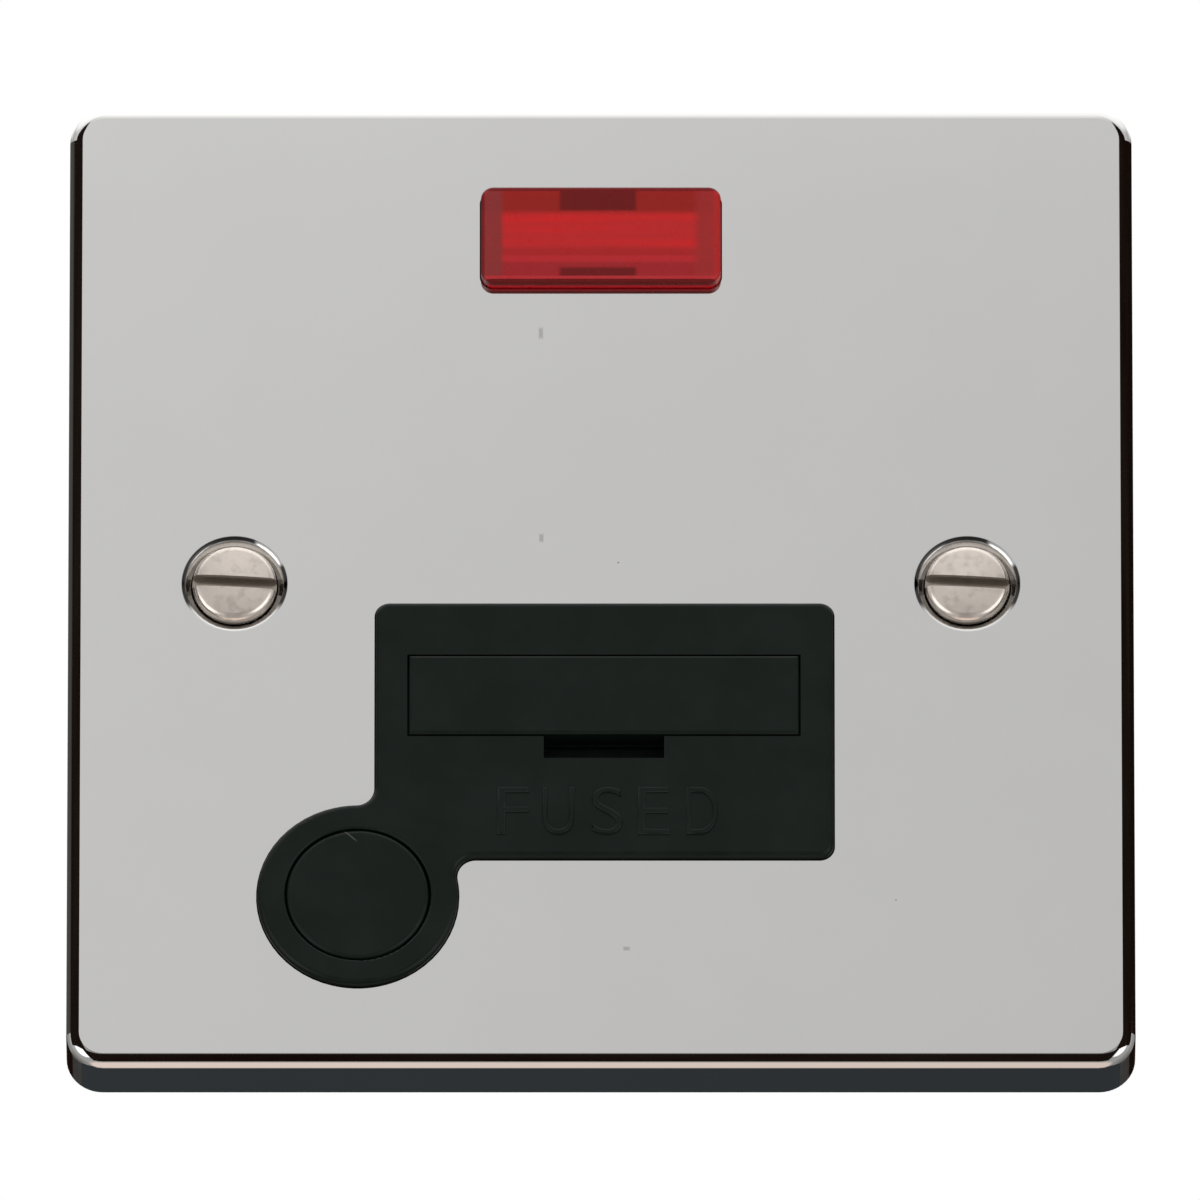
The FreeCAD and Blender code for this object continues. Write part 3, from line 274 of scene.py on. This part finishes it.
def moulded_plastic(name, dark, light, rough=(0.3, 0.42), grain_mm=0.22, depth_mm=0.006,
                    scratches=(), **sockets):
    """Moulded plastic: fine grain, slow drift of tone, slightly uneven gloss and any scratches."""
    made = Finish(name, **sockets)
    tone = made.mix(made.spread(made.noise(6, 4)), dark, light)
    for scratch in scratches:
        tone = made.mix(made.mark(*scratch), tone, SCRATCH_COLOUR)
    made.colour(tone)
    made.roughness(made.spread(made.noise(1.6, 3, seed=0.3), *rough))
    made.bump(made.noise(grain_mm, 2, seed=0.1), depth_mm, 0.5)
    return made.material


def worked_metal(name, dark, light, rough=(0.16, 0.34)):
    """Cut or rolled metal: directional tool marks, patchy tarnish and uneven gloss."""
    made = Finish(name, Metallic=1.0)
    marks = made.noise(0.35, 4, stretch=(1, 1, 0.08))
    tarnish = made.ramp(made.noise(2.4, 5, seed=0.5), 0.35, 0.7)
    made.colour(made.mix(tarnish, light, dark))
    made.roughness(made.spread(marks, *rough))
    made.bump(marks, 0.008, 0.5)
    return made.material


def nickel_screw():
    """Warm nickel plate with turning marks, dull spots and a darker tone deep in the slot."""
    made = Finish("nickel_screw", Metallic=0.84)
    marks = made.noise(0.3, 4)
    tone = made.mix(made.ramp(made.noise(0.9, 3, seed=0.2), 0.45, 0.7),
                    (0.6, 0.54, 0.49, 1), (0.5, 0.45, 0.4, 1))
    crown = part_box("box_screw_left")[0].y / MM
    sunk = made.ramp(made.axis(1, crown), 0.3, 0.5, 0, 0.8)
    within = made.ramp(made.math("ABSOLUTE", made.axis(2)), 0.6, 0.75, 1, 0)
    # Darker and browner deeper than 0.3 mm below the crown, within the slot
    made.colour(made.mix(made.product(sunk, within), tone, SLOT_DEEP_TONE))
    made.roughness(made.spread(marks, 0.16, 0.22))
    made.bump(marks, 0.002, 0.3)
    return made.material


# Neon lamp

LENS_DARK = (0.44, 0.014, 0.016, 1)
LENS_LIGHT = (0.55, 0.01, 0.011, 1)
LENS_TAB_SHADE = (0.12, 0.002, 0.002, 1)
LENS_SHADE = (0.13, 0.001, 0.003, 1)
FLUTE_PITCH = 1.1
TAB_SHIFT = 0.25


def lens_red():
    """Red translucent moulding, with painted shade over its own walls and over the holder's two
    tabs, and painted highlights and shade along its edges.
    """
    made = Finish("lens_red", IOR=1.45, Specular_IOR_Level=0.2, Subsurface_Weight=0.35,
                  Subsurface_Radius=(1.0, 0.12, 0.12), Subsurface_Scale=0.003)
    low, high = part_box("neon_lens")
    across = made.axis(0)
    up = made.axis(2, (low.z + high.z) / 2 / MM)
    streaks = made.spread(made.noise(0.9, 3, stretch=(0.06, 1, 1)), 0, 0.7)
    flute = made.math("SINE", made.product(up, 2 * math.pi / FLUTE_PITCH))
    band = made.math("ADD", made.ramp(flute, -1, 1, 0, 0.3), streaks)
    tone = made.mix(band, LENS_DARK, LENS_LIGHT)
    # Painted shade, with one lighter band, where the walls and the holder lie behind the face,
    # from the middle outwards
    for place, start, end, share, colour in (
            (up, -1.0, -1.6, 0.7, (0.3, 0.01, 0.011, 1)),
            (up, -1.9, -2.1, 0.8, (0.45, 0.016, 0.022, 1)),
            (up, -2.4, -2.8, 0.9, (0.3, 0.011, 0.015, 1)),
            (up, 1.6, 2.3, 0.95, (0.265, 0.008, 0.004, 1)),
            (across, -7.9, -8.4, 0.9, (0.225, 0.024, 0.024, 1)),
            (across, 7.4, 8.3, 0.9, (0.305, 0.017, 0.017, 1))):
        tone = made.mix(made.ramp(place, start, end, 0, share), tone, colour)
    # Painted shade over the holder's two tabs behind the lens
    above_edge = made.ramp(up, -4.2, -4.1)
    tabs = made.math("ADD", made.ramp(up, 2.0, 2.3),
                     made.product(made.ramp(up, -2.9, -3.3), above_edge))
    beside = made.off(across, -TAB_SHIFT)
    tabs = made.product(tabs, made.ramp(beside, 2.9, 3.4, 0.9, 0))
    tone = made.mix(tabs, tone, LENS_TAB_SHADE)
    # Painted light and shade: a painted highlight along the rounded lower edge, a darker band
    # along the right edge, painted shade along the top rim and the left edge, painted shade on the
    # lower wall, and painted light on the lower wall where it stands on the plate
    edge = made.product(made.ramp(up, -3.8, -3.95), above_edge)
    tone = made.mix(edge, tone, (0.4, 0.022, 0.028, 1))
    tone = made.mix(made.ramp(across, 9.25, 9.4, 0, 0.95), tone, (0.37, 0.014, 0.013, 1))
    shade = made.math("MAXIMUM", made.ramp(up, 3.88, 3.98, 0, 0.95),
                      made.ramp(across, -9.5, -9.7, 0, 0.8))
    tone = made.mix(shade, tone, LENS_SHADE)
    tone = made.mix(made.ramp(up, -4.12, -4.2), tone, (0.11, 0.002, 0.002, 1))
    foot = made.product(made.ramp(made.axis(1, low.y / MM), 0.6, 0.9),
                        made.ramp(up, -4.2, -4.3))
    made.colour(made.mix(foot, tone, (0.4, 0.003, 0.008, 1)))
    made.roughness(made.spread(made.noise(1.2, 3), 0.26, 0.34))
    made.bump(made.noise(0.6, 3), 0.003, 0.4)
    return made.material


def clear_glass():
    """Thin lamp glass with a faint smoky drift."""
    made = Finish("lamp_glass", IOR=1.5, Transmission_Weight=0.9)
    made.colour(made.mix(made.noise(1.2, 3), (0.96, 0.93, 0.9, 1), (0.85, 0.8, 0.76, 1)))
    made.roughness(made.spread(made.noise(0.8, 2), 0.03, 0.1))
    return made.material


# Place along the body as a share of its length, and colour
RESISTOR_BANDS = ((0.18, (0.04, 0.02, 0.01, 1)), (0.38, (0.45, 0.02, 0.02, 1)),
                  (0.56, (0.75, 0.5, 0.03, 1)), (0.82, (0.5, 0.36, 0.12, 1)))
RESISTOR_BAND_EDGE = (0.26, 0.32)


def resistor_body():
    """Tan lacquer with the colour bands of a resistor, which ring its depth-wise axis."""
    made = Finish("resistor_body", Coat_Weight=0.4)
    low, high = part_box("neon_resistor")
    length = (high.y - low.y) / MM
    along = made.math("SUBTRACT", made.axis(1), low.y / MM)
    tone = made.mix(made.noise(0.7, 3), (0.62, 0.47, 0.29, 1), (0.52, 0.39, 0.24, 1))
    for share, colour in RESISTOR_BANDS:
        band = made.ramp(made.off(along, share * length), *RESISTOR_BAND_EDGE, 1, 0)
        tone = made.mix(band, tone, colour)
    made.colour(tone)
    made.roughness(made.spread(made.noise(0.5, 2), 0.25, 0.4))
    made.bump(made.noise(0.4, 2), 0.01, 0.3)
    return made.material


FINISHES = {
    "chrome_plate": polished_chrome(),
    "black_moulding": moulded_plastic("black_moulding", (0.0008, 0.0036, 0.002, 1),
                                      (0.0032, 0.006, 0.0044, 1), rough=(0.3, 0.4),
                                      scratches=(PLUG_SCRATCH,), Specular_IOR_Level=0.14),
    "housing_moulding": moulded_plastic("housing_moulding", grey(0.68, 0.02), grey(0.76, 0.015)),
    "holder_moulding": moulded_plastic("holder_moulding", grey(0.6, 0.03), grey(0.68, 0.02)),
    "lens_red": lens_red(),
    "lamp_glass": clear_glass(),
    "resistor_body": resistor_body(),
    "lead_sleeve": moulded_plastic("lead_sleeve", grey(0.7, 0.03), grey(0.78, 0.02),
                                   rough=(0.35, 0.5)),
    "fuse_ceramic": moulded_plastic("fuse_ceramic", grey(0.7, 0.05), grey(0.8, 0.04),
                                    rough=(0.12, 0.25), grain_mm=0.8, depth_mm=0.004),
    "fuse_cap_metal": worked_metal("fuse_cap_metal", (0.5, 0.48, 0.45, 1), (0.66, 0.64, 0.6, 1),
                                   rough=(0.12, 0.25)),
    "tinned_strip": worked_metal("tinned_strip", (0.5, 0.4, 0.24, 1), (0.74, 0.6, 0.36, 1)),
    "terminal_brass": worked_metal("terminal_brass", (0.52, 0.38, 0.16, 1), (0.8, 0.6, 0.28, 1)),
    "nickel_screw": nickel_screw(),
    "steel_screw": worked_metal("steel_screw", (0.42, 0.41, 0.39, 1), (0.62, 0.62, 0.6, 1)),
}


def dress_nodes():
    """Give every CAD node the finish of its material slot."""
    slots = {entry["node"]: entry["material_slot"] for entry in frame["record"]["subparts"]}
    for name, node in frame["nodes"].items():
        node.data.materials.clear()
        node.data.materials.append(FINISHES[slots[name]])


dress_nodes()


# Lettering on the insert

LETTERS = {"F": -7.22, "U": -3.5, "S": 0.5, "E": 4.34, "D": 8.3}
LETTER_MIDDLE = -21.05
LETTER_SIZE = (2.6, 4.35)
FONT_SIZE = 6.0
STROKE_OFFSET = -0.16
STROKE_ROUNDING = 0.14


def raised_letter(letter, x, z):
    """One letter in low relief, with rounded strokes, stretched to the size of the others."""
    data = bpy.data.curves.new("letter_" + letter, "FONT")
    data.body = letter
    data.size = FONT_SIZE * MM
    data.offset = STROKE_OFFSET * MM
    data.bevel_depth = STROKE_ROUNDING * MM
    data.bevel_resolution = 3
    outline = bpy.data.objects.new("letter_" + letter, data)
    bpy.context.collection.objects.link(outline)
    bpy.context.view_layer.update()
    mesh = bpy.data.meshes.new_from_object(outline)
    bpy.data.objects.remove(outline)
    columns = [vertex.co.x for vertex in mesh.vertices]
    rows = [vertex.co.y for vertex in mesh.vertices]
    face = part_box("front_moulding")[0].y
    stretch = [size * MM / (max(values) - min(values))
               for size, values in zip(LETTER_SIZE, (columns, rows))]
    middle = [(max(values) + min(values)) / 2 for values in (columns, rows)]
    for vertex in mesh.vertices:
        right, up, out = vertex.co
        vertex.co = (x * MM + (right - middle[0]) * stretch[0], face - out,
                     z * MM + (up - middle[1]) * stretch[1])
    made = bpy.data.objects.new("letter_" + letter, mesh)
    bpy.context.collection.objects.link(made)
    made.data.materials.append(FINISHES["black_moulding"])
    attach(made, "housing")


for letter, place in LETTERS.items():
    raised_letter(letter, place, LETTER_MIDDLE)


# Camera

TILT = math.radians(26)
PIXEL = 0.0823 * MM
IMAGE = 1200
PLATE_MIDDLE_PIXEL = (600.9, 583.8)
PLATE_FACE_Y = -5.3 * MM
LENS_MM = 1700.0
SENSOR_MM = 36.0
CLIP_M = (0.1, 60.0)


def camera():
    """A very long lens looking up at the plate from below, as in the photograph."""
    data = bpy.data.cameras.new("camera")
    data.lens = LENS_MM
    data.sensor_width = SENSOR_MM
    data.clip_start, data.clip_end = CLIP_M
    made = bpy.data.objects.new("camera", data)
    bpy.context.collection.objects.link(made)
    back = Vector((0, -math.cos(TILT), -math.sin(TILT)))
    up = Vector((0, -math.sin(TILT), math.cos(TILT)))
    aim = Vector((0, PLATE_FACE_Y, 0))
    aim -= Vector((1, 0, 0)) * (PLATE_MIDDLE_PIXEL[0] - IMAGE / 2) * PIXEL
    aim += up * (PLATE_MIDDLE_PIXEL[1] - IMAGE / 2) * PIXEL
    distance = LENS_MM / SENSOR_MM * IMAGE * PIXEL
    made.location = aim + back * distance
    made.rotation_mode = "QUATERNION"
    made.rotation_quaternion = (-back).to_track_quat("-Z", "Y")
    bpy.context.scene.camera = made


# What the chrome mirrors

DARK = (0.012, 0.006, 0.004, 1)
DARK_DRIFT = (0.02, 0.014, 0.011, 1)
WHITE = (1.0, 1.0, 0.995, 1)
BRIGHT = (1.8, 1.8, 1.79, 1)
SOFTBOX = (2.2, 2.2, 2.2, 1)
# Azimuth, elevation, inner and outer radius, in degrees
SOFTBOXES = ((-44, -12, 18, 24), (42, -10, 17, 23))
# Height on the shell that the plate's side edges mirror: the sine of the camera's tilt
MIRRORED = 0.438
SHELL_RADIUS_M = 2.5
CARD_REACH = 36.0
CARD_GAP = 5.0


def seen_in_reflections_only(name, mesh, material):
    """Put a mesh on the stage so that only reflections show it."""
    made = bpy.data.objects.new(name, mesh)
    bpy.context.collection.objects.link(made)
    made.visible_camera = False
    made.visible_diffuse = False
    made.visible_transmission = False
    made.visible_shadow = False
    made.visible_volume_scatter = False
    made.data.materials.append(material)


def glow(paint, tone):
    """Make a finish shine with a tone and reflect nothing."""
    light = paint.node("ShaderNodeEmission", {"Color": tone, "Strength": 1.0})
    output = paint.tree.nodes["Material Output"]
    paint.tree.links.new(light.outputs[0], output.inputs["Surface"])
    paint.tree.nodes.remove(paint.shader)
    return paint.material


def surroundings():
    """A far shell: pale in front and above, dark low behind, with two bright boxes."""
    mesh = bpy.data.meshes.new("surroundings")
    shape = bmesh.new()
    bmesh.ops.create_uvsphere(shape, u_segments=96, v_segments=48, radius=SHELL_RADIUS_M)
    shape.to_mesh(mesh)
    shape.free()
    paint = Finish("surroundings")
    direction = paint.node("ShaderNodeVectorMath", {0: paint.place}, operation="NORMALIZE")
    x, y, z = paint.node("ShaderNodeSeparateXYZ", {"Vector": direction.outputs[0]}).outputs
    side = paint.math("ABSOLUTE", paint.math("ARCTAN2", x, paint.product(y, -1)))
    tone = paint.mix(paint.ramp(side, 2.25, 2.5), room(paint, x, z, side), DARK)
    tone = bright_parts(paint, tone, z, side)
    tone = mirrored_line(paint, tone, x, z, side)
    back_low = paint.product(paint.ramp(side, 2.25, 2.5), paint.ramp(z, 0.1, -0.2))
    tone = paint.mix(back_low, tone, (0.048, 0.057, 0.062, 1))
    tone = paint.mix(paint.ramp(z, -0.80, -0.93), tone, (1.3, 1.1, 0.99, 1))
    tone = softboxes(paint, tone, direction.outputs[0])
    seen_in_reflections_only("surroundings", mesh, glow(paint, tone))


def room(paint, x, z, side):
    """The room in front and its sides, a little darker low down and straight ahead."""
    tone = paint.mix(paint.ramp(z, 0.3, -0.5), (0.9, 0.9, 0.89, 1), (0.62, 0.62, 0.61, 1))
    ahead = paint.product(paint.ramp(paint.math("ABSOLUTE", x), 0.08, 0.3, 1, 0),
                          paint.ramp(z, 0.40, 0.30))
    tone = paint.mix(ahead, tone, (0.4, 0.39, 0.38, 1))
    return paint.mix(paint.ramp(side, 1.2, 2.0), tone, (0.45, 0.45, 0.44, 1))


def bright_parts(paint, tone, z, side):
    """The window in front, the ceiling and the wall high behind."""
    window = paint.product(paint.ramp(z, 0.34, 0.40),
                           paint.ramp(side, 0.05, 0.27, 1, 0, smooth=False))
    ceiling = paint.ramp(z, 0.60, 0.80)
    behind = paint.product(paint.ramp(side, 1.3, 2.8), paint.ramp(z, 0.46, 0.56))
    overhead = paint.ramp(z, 0.44, 0.93, smooth=False)
    straight_behind = paint.product(paint.ramp(side, 2.6, 3.0), paint.ramp(z, 0.34, 0.40))
    pale = paint.mix(paint.math("MAXIMUM", overhead, straight_behind), WHITE, BRIGHT)
    white = paint.math("MAXIMUM", window, paint.math("MAXIMUM", ceiling, behind))
    return paint.mix(white, tone, pale)


def mirrored_line(paint, tone, x, z, side):
    """A dark line at the height that the plate's side edges mirror, greyer at the left back."""
    line = paint.product(paint.ramp(paint.off(z, MIRRORED), 0.03, 0.06, 1, 0),
                         paint.ramp(side, 0.05, 0.27))
    tone = paint.mix(line, tone, DARK)
    left_back = paint.product(paint.ramp(side, 1.2, 1.8), paint.ramp(x, -0.02, -0.12), line)
    return paint.mix(left_back, tone, (0.1, 0.1, 0.095, 1))


def softboxes(paint, tone, direction):
    """Two round boxes low in front, which the plate's lower corners mirror."""
    for azimuth, elevation, inner, outer in SOFTBOXES:
        level, turn = math.radians(elevation), math.radians(azimuth)
        toward = (math.sin(turn) * math.cos(level), -math.cos(turn) * math.cos(level),
                  math.sin(level))
        near = paint.node("ShaderNodeVectorMath", {0: direction, 1: toward},
                          operation="DOT_PRODUCT").outputs["Value"]
        edge = [math.cos(math.radians(radius)) for radius in (outer, inner)]
        tone = paint.mix(paint.ramp(near, *edge), tone, SOFTBOX)
    return tone


def flags():
    """Dark cards just in front of the plate's rim, mirrored by its rolled edges, not its face."""
    low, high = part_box("front_plate")
    half, front = high.x / MM, low.y / MM - CARD_GAP
    # Left, right, bottom and top of each card
    cards = ((-half - CARD_REACH, -half + 0.6, -half + 1.6, half + 3),
             (half - 0.6, half + CARD_REACH, -half + 1.6, half + 3),
             (-half - 1.0, half + 1.0, -half - 6.3, -half + 2.2))
    corners = []
    for left, right, bottom, top in cards:
        corners += [(left, front, bottom), (right, front, bottom),
                    (right, front, top), (left, front, top)]
    mesh = bpy.data.meshes.new("flags")
    mesh.from_pydata([Vector(corner) * MM for corner in corners], [],
                     [tuple(range(4 * index, 4 * index + 4)) for index in range(len(cards))])
    paint = Finish("flags")
    tone = paint.mix(paint.spread(paint.noise(20, 2)), DARK, DARK_DRIFT)
    seen_in_reflections_only("flags", mesh, glow(paint, tone))


# Light and floor

WORLD_FILL = 0.45
LAMP_SIZE_M = 0.9
# Place in metres, and power in watts
LAMPS = {
    "key": ((-0.6, -1.1, 1.2), 12),
    "fill": ((0.9, -1.0, -0.2), 4),
    "low": ((0.1, -0.7, -1.2), 7),
    "rear": ((0.5, 1.2, 0.8), 8),
}
FLOOR_HALF_M = 14.0
FLOOR_Z_M = -9.0


def world():
    """White to the camera, to reflections and through glass; a soft pale fill for the rest."""
    made = bpy.data.worlds.new("world")
    bpy.context.scene.world = made
    made.use_nodes = True
    tree = made.node_tree
    tree.nodes.clear()
    path = tree.nodes.new("ShaderNodeLightPath")
    seen = path.outputs["Is Camera Ray"]
    for ray in ("Is Glossy Ray", "Is Transmission Ray"):
        either = tree.nodes.new("ShaderNodeMath")
        either.operation = "MAXIMUM"
        tree.links.new(seen, either.inputs[0])
        tree.links.new(path.outputs[ray], either.inputs[1])
        seen = either.outputs[0]
    strength = tree.nodes.new("ShaderNodeMapRange")
    strength.inputs["To Min"].default_value = WORLD_FILL
    strength.inputs["To Max"].default_value = 1.0
    tree.links.new(seen, strength.inputs["Value"])
    light = tree.nodes.new("ShaderNodeBackground")
    light.inputs["Color"].default_value = (1, 1, 1, 1)
    tree.links.new(strength.outputs["Result"], light.inputs["Strength"])
    output = tree.nodes.new("ShaderNodeOutputWorld")
    tree.links.new(light.outputs[0], output.inputs["Surface"])


def lamp(name, place, watts):
    """A soft square lamp that faces the part and shows in no reflection."""
    data = bpy.data.lights.new(name, "AREA")
    data.size = LAMP_SIZE_M
    data.energy = watts
    made = bpy.data.objects.new(name, data)
    bpy.context.collection.objects.link(made)
    made.location = place
    made.rotation_mode = "QUATERNION"
    made.rotation_quaternion = Vector(place).to_track_quat("Z", "Y")
    made.visible_glossy = False


def floor():
    """A plain pale floor far below, which keeps clear of every view from below."""
    mesh = bpy.data.meshes.new("floor")
    half = FLOOR_HALF_M
    corners = [(x, y, FLOOR_Z_M) for x, y in ((-half, -half), (half, -half),
                                              (half, half), (-half, half))]
    mesh.from_pydata(corners, [], [(0, 1, 2, 3)])
    made = bpy.data.objects.new("floor", mesh)
    bpy.context.collection.objects.link(made)
    paint = Finish("floor_paint", Roughness=0.8)
    paint.colour(paint.mix(paint.noise(900, 3), grey(0.8), grey(0.84)))
    made.data.materials.append(paint.material)


camera()
surroundings()
flags()
world()
floor()
for lamp_name, (place, watts) in LAMPS.items():
    lamp(lamp_name, place, watts)

bpy.context.scene.view_settings.view_transform = "Standard"
